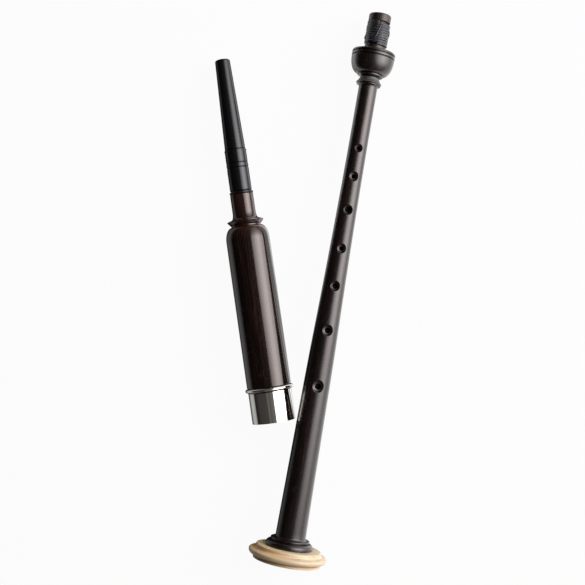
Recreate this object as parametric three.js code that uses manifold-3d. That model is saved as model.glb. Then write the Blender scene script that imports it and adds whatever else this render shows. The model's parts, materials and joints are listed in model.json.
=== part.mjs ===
import * as THREE from "three";
import { mergeVertices } from "three/addons/utils/BufferGeometryUtils.js";
import Module from "manifold-3d";

// A practice chanter for the bagpipe, taken apart: the long chanter with its sole and wound tenon,
// and the top section with its ferrule and mouthpiece, laid side by side on their own rims.
// Millimetres, +Z up, +Y along the top section from its mouth to its mouthpiece.

// Facets round a turned piece, round a finger hole and round the thread, and steps on curves
const turnedFacets = 28;
const holeFacets = 14;
const threadFacets = 6;
const stepsPerLoop = 24;
const beadSteps = 3;
const curveSteps = 4;

// Clearances between pieces that seat on each other, and the play of the tenon in its socket
const seat = 0.3;
const socketPlay = 0.15;

// How the two sections lie: the angle between them, how far the foot is behind the socket's mouth,
// and the gap in plan between the ferrule's corner and the shaft
const lay = { spreadDegrees: 18.05, footBehind: 85.13, gap: 0.88 };

// Sole: the turned ring on the chanter's foot, with a lip, a groove, a round rim, a cove and a step
const sole = {
  thickness: 8.8,
  lipRadius: 20.9,
  lipRound: 0.6,
  lipHeight: 1.4,
  grooveRadius: 20.4,
  grooveHeight: 0.5,
  rimRadius: 24.2,
  rimCentre: 4.7,
  coveRadius: 22,
  coveHeight: 1.2,
  stepRadius: 20.2,
  stepHeight: 1.5,
  topRound: 0.8,
};

// Foot of the chanter: the spigot in the sole, two beads, and the wide mouth of the bore
const foot = {
  spigotRadius: 9,
  lowerBeadRadius: 14.6,
  lowerBeadHeight: 3.75,
  lowerBeadRound: 2.4,
  edgeRound: 0.5,
  grooveRadius: 11.5,
  grooveHeight: 0.4,
  upperBeadRadius: 12.1,
  upperBeadHeight: 1.3,
  coveHeight: 1.4,
  mouthRadius: 5.5,
  mouthDepth: 13,
  mouthTaper: 4,
};

// Shaft: its length, its radii at the foot and under the collar, and how the taper runs between
const shaft = {
  length: 280.4,
  footRadius: 9.35,
  neckRadius: 5.82,
  boreRadius: 2.3,
  lengthShares: [0.2, 0.4, 0.53, 0.69, 0.86, 1],
  taperShares: [0.8, 0.59, 0.365, 0.14, 0.01, 0],
};

// Finger holes in the shaft, and the thumb hole behind: places along the shaft, and sizes
const fingerHoles = {
  boreRadius: 1.75,
  dishRadius: 3.3,
  dishDepth: 1.3,
  rowDegrees: 6.2,
  placeShares: [0.3329, 0.4567, 0.5552, 0.6384, 0.7246, 0.7996, 0.8626],
  boreShares: [1.05, 1, 1, 0.82, 1.14, 0.83, 0.8],
  dishShares: [1.12, 1.03, 0.94, 0.88, 0.94, 0.89, 0.79],
};
const thumbHole = { placeShare: 0.91, boreShare: 0.86, dishShare: 0.86 };

// Collar under the bulb: a cove, a step and a slant up to a sharp edge, a cone down to a neck, and a
// ring with a groove above it
const collar = {
  coveRadius: 6.25,
  coveHeight: 1.6,
  stepRadius: 6.95,
  stepHeight: 0.2,
  slantHeight: 1.3,
  edgeRadius: 7.95,
  edgeHeight: 0.3,
  coneHeight: 3.2,
  waistRadius: 5.85,
  waistHeight: 0.7,
  ringLowRadius: 7.2,
  ringRadius: 8,
  ringHeight: 1.4,
  grooveRadius: 7.6,
  grooveHeight: 0.4,
};

// Bulb: the cup shape below the tenon, with two rim rings cut by grooves
const bulb = {
  startRadius: 8.3,
  bodyHeight: 9.8,
  radius: 13.4,
  ringRadius: 13.5,
  ringHeight: 1.3,
  grooveRadius: 12.7,
  grooveHeight: 0.8,
  topRadius: 12.9,
};

// Tenon: a bare neck, the recess that holds the winding, and a plain tip with the reed seat in it
const tenon = {
  neckRadius: 6.6,
  neckLength: 3.4,
  recessDepth: 1.7,
  recessLength: 15.4,
  tipRadius: 6.9,
  tipLength: 4.9,
  tipRound: 1,
  reedSeatRadius: 3.9,
  reedSeatDepth: 12,
};

// Thread wound on the tenon: one unbroken length, with gaps between its loops, over a packed core
const thread = { diameter: 0.8, gap: 0.5, bend: 0.6, coreThickness: 0.7 };

// Ferrule: a thin metal tube round the socket's mouth, with a bead round its inner end
const ferrule = {
  radius: 13.42,
  wall: 0.6,
  tubeLength: 19.3,
  beadRadius: 15.05,
  beadHeight: 2.5,
};

// Barrel of the top section: the round shoulder and the sharp collar above it
const barrel = {
  mouthSetback: 0.6,
  footRadius: 13.75,
  shoulderRadius: 13.58,
  length: 91.4,
  shoulderHeight: 8.9,
  shoulderTopRadius: 9.15,
  grooveHeight: 0.6,
  chamberDepth: 78,
  chamberPoint: 5,
  airwayRadius: 3,
};
const topCollar = {
  edgeRadius: 11.3,
  coneHeight: 2.5,
  edgeHeight: 0.4,
  topConeHeight: 0.9,
  flareHeight: 4.3,
  flareRadius: 8.7,
};

// Stem of the top section, and the length of its spigot in the mouthpiece sleeve
const stem = { radius: 7.2, length: 11.6, spigotLength: 13.5 };

// Mouthpiece sleeve: a ring at its foot, a bead between two grooves, and a lip round its end
const sleeve = {
  length: 27.6,
  boreRadius: 5.05,
  radius: 6.8,
  endRadius: 6.73,
  footRingRadius: 7.4,
  footRingHeight: 1.45,
  beadPlace: 16.75,
  beadHeight: 2.2,
  grooveRadius: 6.15,
  grooveHeight: 0.7,
  lipRadius: 6.85,
  lipHeight: 0.9,
};

// Mouthpiece: the tapered tip, the airway through it, and its tenon, which stops short of the spigot
const mouthpiece = {
  length: 56.9,
  footRadius: 6.42,
  footChamfer: 0.2,
  tipRadius: 4.68,
  tipRound: 1.3,
  airwayRadius: 2.1,
  tenonStop: 1.8,
  recessDepth: 1.15,
  recessLength: 7,
  recessPlace: 3,
};

// Colours, roughness and metalness
const blackwood = { color: 0x241513, roughness: 0.32, metalness: 0 };
const polymer = { color: 0x121214, roughness: 0.38, metalness: 0 };
const soleCream = { color: 0xe6cfa6, roughness: 0.45, metalness: 0 };
const nickel = { color: 0xdad6cf, roughness: 0.08, metalness: 1 };
const waxedThread = { color: 0x16171b, roughness: 0.6, metalness: 0 };

const wasm = await Module();
wasm.setup();

// A point of an outline: its radius from the axis, and its height along the axis
function point(radius, height) {
  return new THREE.Vector2(radius, height);
}

// A quarter of an ellipse between two points, which leaves the first one along the axis or across it
function quarter(start, end, leaves, steps = beadSteps) {
  const points = [];
  for (let i = 0; i <= steps; i += 1) {
    const turn = (i / steps) * (Math.PI / 2);
    const across = leaves === "along" ? 1 - Math.cos(turn) : Math.sin(turn);
    const along = leaves === "along" ? Math.sin(turn) : 1 - Math.cos(turn);
    const radius = THREE.MathUtils.lerp(start.x, end.x, across);
    const height = THREE.MathUtils.lerp(start.y, end.y, along);
    points.push(point(radius, height));
  }
  return points;
}

// A rounded bead that stands out from its edges to a peak halfway up
function bead(edgeRadius, peakRadius, low, height) {
  const peak = point(peakRadius, low + height / 2);
  return [
    ...quarter(point(edgeRadius, low), peak, "across"),
    ...quarter(peak, point(edgeRadius, low + height), "along"),
  ];
}

// A groove with a flat floor
function groove(radius, low, height) {
  return [point(radius, low), point(radius, low + height)];
}

// Outline points without repeats
function outlineOf(...pieces) {
  const points = pieces.flat();
  return points.filter((p, i) => i === 0 || !p.equals(points[i - 1]));
}

// A piece turned on a lathe round Y, with one facet facing straight down
function turned(outline, facets = turnedFacets) {
  return new THREE.LatheGeometry(outline, facets, Math.PI / facets);
}

// A ring closes its outline on itself
function turnedRing(outline) {
  return turned([...outline, outline[0]]);
}

function solidOf(geometry) {
  const bare = new THREE.BufferGeometry();
  bare.setAttribute("position", geometry.getAttribute("position"));
  bare.setIndex(geometry.getIndex());
  const merged = mergeVertices(bare);
  const vertProperties = merged.getAttribute("position").array;
  const triVerts = new Uint32Array(merged.getIndex().array);
  return new wasm.Manifold(new wasm.Mesh({ numProp: 3, vertProperties, triVerts }));
}

function geometryOf(solid) {
  const { vertProperties, triVerts } = solid.getMesh();
  const geometry = new THREE.BufferGeometry();
  geometry.setAttribute("position", new THREE.BufferAttribute(vertProperties, 3));
  geometry.setIndex(new THREE.BufferAttribute(triVerts, 1));
  geometry.computeVertexNormals();
  return geometry;
}

function pieceOf(name, geometry, look) {
  const mesh = new THREE.Mesh(geometry, new THREE.MeshStandardMaterial(look));
  mesh.name = name;
  return mesh;
}

// Heights along the chanter, from the sole's bottom face
const at = {};
at.lowerBead = sole.thickness;
at.footGroove = at.lowerBead + foot.lowerBeadHeight;
at.upperBead = at.footGroove + foot.grooveHeight;
at.footCove = at.upperBead + foot.upperBeadHeight;
at.shaft = at.footCove + foot.coveHeight;
at.collar = at.shaft + shaft.length;
at.collarStep = at.collar + collar.coveHeight;
at.collarEdge = at.collarStep + collar.stepHeight + collar.slantHeight;
at.waist = at.collarEdge + collar.edgeHeight + collar.coneHeight;
at.collarRing = at.waist + collar.waistHeight;
at.collarGroove = at.collarRing + collar.ringHeight;
at.bulb = at.collarGroove + collar.grooveHeight;
at.rim = at.bulb + bulb.bodyHeight;
at.tenon = at.rim + 2 * (bulb.grooveHeight + bulb.ringHeight);
at.recess = at.tenon + tenon.neckLength;
at.tip = at.recess + tenon.recessLength;
at.end = at.tip + tenon.tipLength;

// Heights along the top section, from the ferrule's mouth
const up = {};
up.barrel = ferrule.tubeLength + ferrule.beadHeight + seat;
up.shoulder = up.barrel + barrel.length;
up.groove = up.shoulder + barrel.shoulderHeight;
up.collar = up.groove + barrel.grooveHeight;
up.collarEdge = up.collar + topCollar.coneHeight;
up.topCone = up.collarEdge + topCollar.edgeHeight;
up.flare = up.topCone + topCollar.topConeHeight;
up.stem = up.flare + topCollar.flareHeight;
up.sleeve = up.stem + stem.length;
up.mouthpiece = up.sleeve + sleeve.length;

// Radii and lengths of pieces that fit one in another
const recessRadius = tenon.tipRadius - tenon.recessDepth;
const coreRadius = recessRadius + seat + thread.coreThickness;
const windingRadius = coreRadius + seat + thread.diameter;
const socketRadius = windingRadius + socketPlay;
const ferruleSpigotRadius = ferrule.radius - ferrule.wall - seat;
const sleeveTenonRadius = sleeve.boreRadius - seat;
const mouthpieceTenonLength = sleeve.length - stem.spigotLength - mouthpiece.tenonStop;
const mouthpieceRecessRadius = sleeveTenonRadius - mouthpiece.recessDepth;

// Radius of the shaft at a share of its length, on a smooth taper through the shares given above
const taper = new THREE.SplineCurve([
  point(1, 0),
  ...shaft.taperShares.map((share, i) => point(share, shaft.lengthShares[i])),
]);
const taperPoints = taper.getPoints(shaft.lengthShares.length * 2).map((p) => {
  const radius = THREE.MathUtils.lerp(shaft.neckRadius, shaft.footRadius, p.x);
  return point(radius, at.shaft + p.y * shaft.length);
});

function shaftRadiusAt(height) {
  const next = taperPoints.findIndex((p) => p.y >= height);
  const [low, high] = [taperPoints[next - 1], taperPoints[next]];
  return THREE.MathUtils.mapLinear(height, low.y, high.y, low.x, high.x);
}

const rimLow = sole.lipHeight + sole.grooveHeight;
const stepLow = sole.thickness - sole.stepHeight;
const soleOutline = outlineOf(
  point(foot.spigotRadius + seat, 0),
  quarter(
    point(sole.lipRadius - sole.lipRound, 0),
    point(sole.lipRadius, sole.lipRound),
    "across",
    beadSteps - 1,
  ),
  point(sole.lipRadius, sole.lipHeight),
  groove(sole.grooveRadius, sole.lipHeight, sole.grooveHeight),
  quarter(point(sole.lipRadius, rimLow), point(sole.rimRadius, sole.rimCentre), "across"),
  quarter(
    point(sole.rimRadius, sole.rimCentre),
    point(sole.coveRadius, stepLow - sole.coveHeight),
    "along",
  ),
  quarter(
    point(sole.coveRadius, stepLow - sole.coveHeight),
    point(sole.stepRadius, stepLow),
    "across",
  ),
  quarter(
    point(sole.stepRadius, sole.thickness - sole.topRound),
    point(sole.stepRadius - sole.topRound, sole.thickness),
    "along",
    beadSteps - 1,
  ),
  point(foot.spigotRadius + seat, sole.thickness),
);

// Outside of the chanter, from the foot's spigot to the end of the tenon
const chanterOutside = outlineOf(
  point(foot.spigotRadius, 0),
  point(foot.spigotRadius, sole.thickness + seat),
  point(foot.lowerBeadRadius - foot.edgeRound, at.lowerBead + seat),
  point(foot.lowerBeadRadius, at.lowerBead + seat + foot.edgeRound),
  quarter(
    point(foot.lowerBeadRadius, at.footGroove - foot.lowerBeadRound),
    point(foot.upperBeadRadius, at.footGroove),
    "along",
  ),
  groove(foot.grooveRadius, at.footGroove, foot.grooveHeight),
  bead(foot.grooveRadius, foot.upperBeadRadius, at.upperBead, foot.upperBeadHeight),
  quarter(point(foot.grooveRadius, at.footCove), point(shaft.footRadius, at.shaft), "across"),
  taperPoints,
  quarter(
    point(shaft.neckRadius, at.collar),
    point(collar.coveRadius, at.collarStep),
    "along",
    curveSteps - 1,
  ),
  point(collar.stepRadius, at.collarStep + collar.stepHeight),
  groove(collar.edgeRadius, at.collarEdge, collar.edgeHeight),
  groove(collar.waistRadius, at.waist, collar.waistHeight),
  quarter(
    point(collar.ringLowRadius, at.collarRing),
    point(collar.ringRadius, at.collarGroove),
    "across",
  ),
  groove(collar.grooveRadius, at.collarGroove, collar.grooveHeight),
  quarter(
    point(bulb.startRadius, at.bulb),
    point(bulb.radius, at.rim),
    "across",
    curveSteps + 1,
  ),
  groove(bulb.grooveRadius, at.rim, bulb.grooveHeight),
  groove(bulb.ringRadius, at.rim + bulb.grooveHeight, bulb.ringHeight),
  groove(bulb.grooveRadius, at.rim + bulb.grooveHeight + bulb.ringHeight, bulb.grooveHeight),
  quarter(
    point(bulb.ringRadius, at.tenon - bulb.ringHeight),
    point(bulb.topRadius, at.tenon),
    "along",
  ),
  point(tenon.neckRadius, at.tenon),
  point(tenon.neckRadius, at.recess),
  groove(recessRadius, at.recess, tenon.recessLength),
  point(tenon.tipRadius, at.tip),
  quarter(
    point(tenon.tipRadius, at.end - tenon.tipRound),
    point(tenon.tipRadius - tenon.tipRound, at.end),
    "along",
  ),
);

// Inside of the chanter, from the reed seat down the bore to the wide mouth at the foot
const chanterInside = outlineOf(
  groove(tenon.reedSeatRadius, at.end, -tenon.reedSeatDepth),
  point(shaft.boreRadius, at.end - tenon.reedSeatDepth),
  point(shaft.boreRadius, foot.mouthDepth + foot.mouthTaper),
  point(foot.mouthRadius, foot.mouthDepth),
  point(foot.mouthRadius, 0),
);

const topOutside = outlineOf(
  point(ferruleSpigotRadius, barrel.mouthSetback),
  point(ferruleSpigotRadius, up.barrel),
  point(barrel.footRadius, up.barrel),
  quarter(
    point(barrel.shoulderRadius, up.shoulder),
    point(barrel.shoulderTopRadius, up.groove),
    "along",
    curveSteps + 1,
  ),
  point(barrel.shoulderTopRadius, up.collar),
  point(topCollar.edgeRadius, up.collarEdge),
  point(topCollar.edgeRadius, up.topCone),
  quarter(
    point(topCollar.flareRadius, up.flare),
    point(stem.radius, up.stem),
    "across",
    curveSteps,
  ),
  point(stem.radius, up.sleeve - seat),
  point(sleeveTenonRadius, up.sleeve - seat),
  point(sleeveTenonRadius, up.sleeve + stem.spigotLength),
);

// Inside of the top section: the airway, and the chamber that takes the tenon and its reed
const topInside = outlineOf(
  point(barrel.airwayRadius, up.sleeve + stem.spigotLength),
  point(barrel.airwayRadius, barrel.chamberDepth + barrel.chamberPoint),
  point(socketRadius, barrel.chamberDepth),
  point(socketRadius, barrel.mouthSetback),
);

const ferruleOutline = outlineOf(
  point(ferrule.radius, 0),
  bead(ferrule.radius, ferrule.beadRadius, ferrule.tubeLength, ferrule.beadHeight),
  point(ferrule.radius - ferrule.wall, ferrule.tubeLength + ferrule.beadHeight),
  point(ferrule.radius - ferrule.wall, 0),
);

const sleeveOutline = outlineOf(
  bead(sleeve.radius, sleeve.footRingRadius, 0, sleeve.footRingHeight),
  groove(sleeve.grooveRadius, sleeve.footRingHeight, sleeve.grooveHeight),
  point(sleeve.radius, sleeve.footRingHeight + sleeve.grooveHeight),
  point(sleeve.radius, sleeve.beadPlace - sleeve.grooveHeight),
  groove(sleeve.grooveRadius, sleeve.beadPlace - sleeve.grooveHeight, sleeve.grooveHeight),
  groove(sleeve.radius, sleeve.beadPlace, sleeve.beadHeight),
  groove(sleeve.grooveRadius, sleeve.beadPlace + sleeve.beadHeight, sleeve.grooveHeight),
  point(sleeve.endRadius, sleeve.beadPlace + sleeve.beadHeight + sleeve.grooveHeight),
  bead(sleeve.endRadius, sleeve.lipRadius, sleeve.length - sleeve.lipHeight, sleeve.lipHeight),
  point(sleeve.boreRadius, sleeve.length),
  point(sleeve.boreRadius, 0),
);

const mouthpieceRecessLow = -mouthpiece.recessPlace - mouthpiece.recessLength;
const mouthpieceOutside = outlineOf(
  point(sleeveTenonRadius, -mouthpieceTenonLength),
  point(sleeveTenonRadius, mouthpieceRecessLow),
  groove(mouthpieceRecessRadius, mouthpieceRecessLow, mouthpiece.recessLength),
  point(sleeveTenonRadius, -mouthpiece.recessPlace),
  point(sleeveTenonRadius, seat),
  point(mouthpiece.footRadius - mouthpiece.footChamfer, seat),
  point(mouthpiece.footRadius, seat + mouthpiece.footChamfer),
  quarter(
    point(mouthpiece.tipRadius, mouthpiece.length - mouthpiece.tipRound),
    point(mouthpiece.tipRadius - mouthpiece.tipRound, mouthpiece.length),
    "along",
  ),
);
const mouthpieceInside = [
  point(mouthpiece.airwayRadius, mouthpiece.length),
  point(mouthpiece.airwayRadius, -mouthpieceTenonLength),
];

// A ring packed into a recess, clear of the recess's floor and of its walls
function packedRing(floorRadius, outerRadius, low, high) {
  return turnedRing([
    point(floorRadius + seat, low),
    point(outerRadius, low),
    point(outerRadius, high),
    point(floorRadius + seat, high),
  ]);
}

// A dished hole, cut from the surface of the shaft into the bore
function holeCutter(placeShare, boreShare, dishShare, degrees) {
  const height = at.shaft + placeShare * shaft.length;
  const surface = shaftRadiusAt(height);
  const hole = fingerHoles.boreRadius * boreShare;
  const dish = fingerHoles.dishRadius * dishShare;
  const flare = dish - hole;
  const cutter = new THREE.LatheGeometry(
    [
      point(0, 0),
      point(hole, 0),
      point(hole, surface - fingerHoles.dishDepth),
      point(dish + flare, surface + fingerHoles.dishDepth),
      point(0, surface + fingerHoles.dishDepth),
    ],
    holeFacets,
  );
  cutter.rotateX(Math.PI / 2);
  cutter.rotateY(THREE.MathUtils.degToRad(degrees));
  cutter.translate(0, height, 0);
  return solidOf(cutter);
}

function chanterBody() {
  let body = solidOf(turnedRing([...chanterOutside, ...chanterInside]));
  fingerHoles.placeShares.forEach((placeShare, i) => {
    const boreShare = fingerHoles.boreShares[i];
    const dishShare = fingerHoles.dishShares[i];
    const cutter = holeCutter(placeShare, boreShare, dishShare, fingerHoles.rowDegrees);
    body = body.subtract(cutter);
  });
  const { placeShare, boreShare, dishShare } = thumbHole;
  const behind = fingerHoles.rowDegrees + 180;
  return geometryOf(body.subtract(holeCutter(placeShare, boreShare, dishShare, behind)));
}

// Points along the thread: up out of the recess, round the core, and back down into the recess
function threadPath() {
  const helixRadius = windingRadius - thread.diameter / 2;
  const start = at.recess + seat + thread.diameter / 2;
  const climb = tenon.recessLength - 2 * seat - thread.diameter;
  const loops = Math.floor(climb / (thread.diameter + thread.gap));
  const tuck = tuckedEnd(helixRadius);
  const steps = loops * stepsPerLoop;
  const edge = thread.bend / helixRadius;
  const points = tuck.map((p) => new THREE.Vector3(p.x, start, p.y));
  for (let i = 1; i <= steps; i += 1) {
    const turn = edge + (i / steps) * (loops * 2 * Math.PI - 2 * edge);
    const height = start + (i / steps) * climb;
    points.push(new THREE.Vector3(helixRadius * Math.cos(turn), height, helixRadius * Math.sin(turn)));
  }
  const mirrored = tuck.slice(0, -1).reverse();
  mirrored.forEach((p) => points.push(new THREE.Vector3(p.x, start + climb, -p.y)));
  return points;
}

// The thread's tucked end in the plane across the axis: straight out for one diameter, then a bend
function tuckedEnd(helixRadius) {
  const bendStart = helixRadius - thread.bend;
  const points = [point(recessRadius + seat, 0)];
  for (let i = 0; i <= curveSteps; i += 1) {
    const turn = (i / curveSteps) * (Math.PI / 2);
    points.push(point(bendStart + thread.bend * Math.sin(turn), thread.bend * (1 - Math.cos(turn))));
  }
  return points;
}

// One closed tube round a path, with its section carried along without twist
function tubeAlong(points, radius, facets) {
  const directions = points.map((p, i) => {
    const before = points[Math.max(i - 1, 0)];
    const after = points[Math.min(i + 1, points.length - 1)];
    return after.clone().sub(before).normalize();
  });
  const normal = new THREE.Vector3(0, 1, 0);
  const vertices = [];
  points.forEach((centre, i) => {
    normal.addScaledVector(directions[i], -normal.dot(directions[i])).normalize();
    const side = directions[i].clone().cross(normal);
    for (let k = 0; k < facets; k += 1) {
      const turn = (k / facets) * 2 * Math.PI;
      const corner = centre.clone();
      corner.addScaledVector(normal, radius * Math.cos(turn));
      corner.addScaledVector(side, radius * Math.sin(turn));
      vertices.push(corner);
    }
  });
  const faces = [];
  for (let i = 0; i < points.length - 1; i += 1) {
    for (let k = 0; k < facets; k += 1) {
      const [a, b] = [i * facets + k, i * facets + ((k + 1) % facets)];
      faces.push(a, b, a + facets, b, b + facets, a + facets);
    }
  }
  const last = (points.length - 1) * facets;
  for (let k = 1; k < facets - 1; k += 1) {
    faces.push(0, k + 1, k, last, last + k, last + k + 1);
  }
  const geometry = new THREE.BufferGeometry().setFromPoints(vertices);
  geometry.setIndex(faces);
  geometry.computeVertexNormals();
  return geometry;
}

// Least gap between points of the thread that lie more than half a loop apart
function leastGap(points) {
  let least = Infinity;
  points.forEach((p, i) => {
    points.slice(i + stepsPerLoop / 2).forEach((q) => {
      least = Math.min(least, p.distanceTo(q) - thread.diameter);
    });
  });
  return least;
}

// Slope and foot radius of the line that carries a turned piece lying on its side
function restingLine(outline) {
  const flat = Math.cos(Math.PI / turnedFacets);
  const middle = (outline[0].y + Math.max(...outline.map((p) => p.y))) / 2;
  for (const low of outline.filter((p) => p.y < middle)) {
    for (const high of outline.filter((p) => p.y > middle)) {
      const slope = (high.x - low.x) / (high.y - low.y);
      const start = low.x - slope * low.y;
      const carried = outline.every((p) => p.x <= (start + slope * p.y) * (1 + Number.EPSILON * 8));
      if (carried) return { slope: slope * flat, start: start * flat };
    }
  }
  throw new Error("the outline has no two points to lie on");
}

// A section laid on its side, turned in plan, with its first end at a place in plan
function laidDown(outline, degrees, x, y) {
  const { slope, start } = restingLine(outline);
  const tilt = Math.atan(slope);
  const section = new THREE.Group();
  section.rotation.set(tilt, 0, THREE.MathUtils.degToRad(degrees), "ZXY");
  section.position.set(x, y, start * Math.cos(tilt));
  return section;
}

function chanterSection() {
  const outline = [...soleOutline, ...chanterOutside];
  const spread = THREE.MathUtils.degToRad(lay.spreadDegrees);
  const beside = shaftRadiusAt(lay.footBehind / Math.cos(spread)) + lay.gap;
  const across = (lay.footBehind * Math.sin(spread) - beside) / Math.cos(spread);
  const footAside = ferrule.radius - across;
  const section = laidDown(outline, -lay.spreadDegrees, footAside, -lay.footBehind);
  const slot = thread.diameter + 2 * seat;
  const path = threadPath();
  console.log("least gap of the thread to itself: " + leastGap(path).toFixed(3) + " mm");
  section.add(
    pieceOf("chanter_body", chanterBody(), blackwood),
    pieceOf("chanter_sole", turnedRing(soleOutline), soleCream),
    pieceOf(
      "tenon_hemp_core",
      packedRing(recessRadius, coreRadius, at.recess + slot, at.tip - slot),
      waxedThread,
    ),
    pieceOf(
      "tenon_hemp_thread",
      tubeAlong(path, thread.diameter / 2, threadFacets),
      waxedThread,
    ),
  );
  return section;
}

function topSection() {
  const section = laidDown([...ferruleOutline, ...topOutside], 0, 0, 0);
  const sleevePiece = pieceOf("mouthpiece_sleeve", turnedRing(sleeveOutline), polymer);
  sleevePiece.position.y = up.sleeve;
  section.add(
    pieceOf("top_body", turnedRing([...topOutside, ...topInside]), blackwood),
    pieceOf("ferrule", turnedRing(ferruleOutline), nickel),
    sleevePiece,
    mouthpieceGroup(),
  );
  return section;
}

// The mouthpiece and the hemp packed in its tenon, from the end face of the sleeve
function mouthpieceGroup() {
  const group = new THREE.Group();
  const low = mouthpieceRecessLow + seat;
  const high = -mouthpiece.recessPlace - seat;
  group.position.y = up.mouthpiece;
  group.add(
    pieceOf("mouthpiece", turnedRing([...mouthpieceOutside, ...mouthpieceInside]), polymer),
    pieceOf(
      "mouthpiece_hemp",
      packedRing(mouthpieceRecessRadius, sleeveTenonRadius, low, high),
      waxedThread,
    ),
  );
  return group;
}

// Stand the whole on z = 0, with its box centred over the origin
const chanter = new THREE.Group();
chanter.add(chanterSection(), topSection());
const box = new THREE.Box3().setFromObject(chanter, true);
const centre = box.getCenter(new THREE.Vector3());
chanter.position.set(-centre.x, -centre.y, -box.min.z);

export default chanter;
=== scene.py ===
import json
from math import asin, ceil, cos, hypot, pi, radians, sin, sqrt, tan
from types import SimpleNamespace as Sizes

import bmesh
import bpy
from mathutils import Matrix, Vector, noise


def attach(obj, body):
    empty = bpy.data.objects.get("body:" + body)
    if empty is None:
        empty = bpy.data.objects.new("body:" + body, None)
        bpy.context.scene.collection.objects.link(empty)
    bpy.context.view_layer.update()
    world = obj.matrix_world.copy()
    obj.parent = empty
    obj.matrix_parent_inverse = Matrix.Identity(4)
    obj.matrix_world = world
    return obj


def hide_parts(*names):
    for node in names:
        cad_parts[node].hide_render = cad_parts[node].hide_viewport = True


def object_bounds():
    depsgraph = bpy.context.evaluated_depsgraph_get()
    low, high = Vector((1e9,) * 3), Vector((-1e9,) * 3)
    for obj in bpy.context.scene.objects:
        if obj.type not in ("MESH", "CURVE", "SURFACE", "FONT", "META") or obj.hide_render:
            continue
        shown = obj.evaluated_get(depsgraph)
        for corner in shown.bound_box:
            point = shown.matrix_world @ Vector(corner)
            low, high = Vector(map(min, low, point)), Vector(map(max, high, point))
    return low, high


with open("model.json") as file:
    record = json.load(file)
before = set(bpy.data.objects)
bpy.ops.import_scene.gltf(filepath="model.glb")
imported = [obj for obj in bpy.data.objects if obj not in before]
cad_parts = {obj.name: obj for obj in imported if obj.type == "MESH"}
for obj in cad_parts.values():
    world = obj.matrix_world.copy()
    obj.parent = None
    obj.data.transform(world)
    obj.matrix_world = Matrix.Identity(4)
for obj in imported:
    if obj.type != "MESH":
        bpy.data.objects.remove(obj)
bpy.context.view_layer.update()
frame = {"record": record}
record = frame["record"]

# One millimetre in metres. Sizes below are in millimetres, and colours are linear
MM = 0.001

# Columns round a turned piece, and steps on a quarter arc and on a softened corner
COLUMNS = 144
ARC_STEPS = 10
CORNER_STEPS = 4

# Corners that turn more than this are softened, over at most this share of the shorter line there,
# and a guard point lies at this share of the softening's reach
SHARP_TURN = radians(24)
CORNER_CUT_SHARE = 0.3
CORNER_GUARD_SHARE = 1.3

# Clearances between pieces that seat on each other, and the play of the tenon in its socket
SEAT = 0.3
SOCKET_PLAY = 0.15

# Width of a pointed groove's floor, as a share of its width at the surface
NOTCH_FLOOR_SHARE = 0.2

# Softening of turned corners: in wood and thick packing, in polymer, in thin metal and packing
WOOD_ROUND = 0.22
POLYMER_ROUND = 0.14
METAL_ROUND = 0.12

sole = Sizes(
    thickness=8.8, lip_radius=20.9, lip_height=1.4, groove_radius=20.4, groove_height=0.5,
    rim_radius=24.2, rim_centre=4.7, cove_radius=22, cove_height=1.2, step_radius=20.2,
    step_height=1.5, top_round=0.8, mount_aside=15,
)
foot = Sizes(
    spigot_radius=9, lower_bead_radius=14.6, lower_bead_height=3.75, lower_bead_round=2.4,
    groove_radius=11.5, groove_height=0.4, upper_bead_radius=12.1, upper_bead_height=1.3,
    cove_height=1.4, mouth_radius=5.5, mouth_depth=13, mouth_taper=4,
)
shaft = Sizes(
    length=280.4, foot_radius=9.35, neck_radius=5.82, bore_radius=2.3,
    length_shares=(0, 0.2, 0.4, 0.53, 0.69, 0.86, 1),
    taper_shares=(1, 0.8, 0.59, 0.365, 0.14, 0.01, 0), row_spacing=3,
)
holes = Sizes(
    bore_radius=1.75, dish_radius=3.3, dish_depth=1.3, row_degrees=6.2,
    place_shares=(0.3329, 0.4567, 0.5552, 0.6384, 0.7246, 0.7996, 0.8626),
    bore_shares=(1.05, 1, 1, 0.82, 1.14, 0.83, 0.8),
    dish_shares=(1.11, 1.02, 0.92, 0.87, 0.89, 0.88, 0.74),
)
thumb_hole = Sizes(place_share=0.91, bore_share=0.86, dish_share=0.86)
collar = Sizes(
    cove_radius=6.25, cove_height=1.5, step_radius=6.6, step_height=0.4, bead_radius=7.5,
    bead_edge_radius=7.35, bead_height=0.7, slant_height=0.5, edge_radius=7.95, edge_height=0.1,
    cone_height=3.4, cone_hollow=0.3, cone_top_radius=6, waist_radius=5.4, waist_height=1,
    waist_floor=0.3, ring_low_radius=7.6, ring_round=0.35, ring_radius=8, ring_height=0.95,
    groove_radius=7.75, groove_height=0.25,
)
bulb = Sizes(
    start_radius=8.3, body_height=10.1, radius=13.4, ring_radius=13.5, ring_height=1.3,
    groove_radius=12.7, groove_height=0.8, top_radius=12.9,
)
tenon = Sizes(
    neck_radius=6.6, neck_length=3.4, recess_depth=1.7, recess_length=15.4, tip_radius=6.9,
    tip_length=4.9, tip_round=1, reed_seat_radius=3.9, reed_seat_depth=12,
)
thread = Sizes(diameter=0.8, core_thickness=0.7)
ferrule = Sizes(radius=13.42, wall=0.6, tube_length=19.3, bead_radius=15.05, bead_height=2.5)
barrel = Sizes(
    mouth_setback=0.6, foot_radius=13.75, shoulder_radius=13.58, length=91.4, shoulder_height=8.9,
    shoulder_top_radius=9.15, groove_height=0.6, chamber_depth=78, chamber_point=5, airway_radius=3,
)
top_collar = Sizes(
    edge_radius=11.3, cone_height=2.5, edge_height=0.4, top_cone_height=0.9, flare_height=4.3,
    flare_radius=8.7,
)
stem = Sizes(radius=7.2, length=11.6, spigot_length=13.5)
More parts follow.
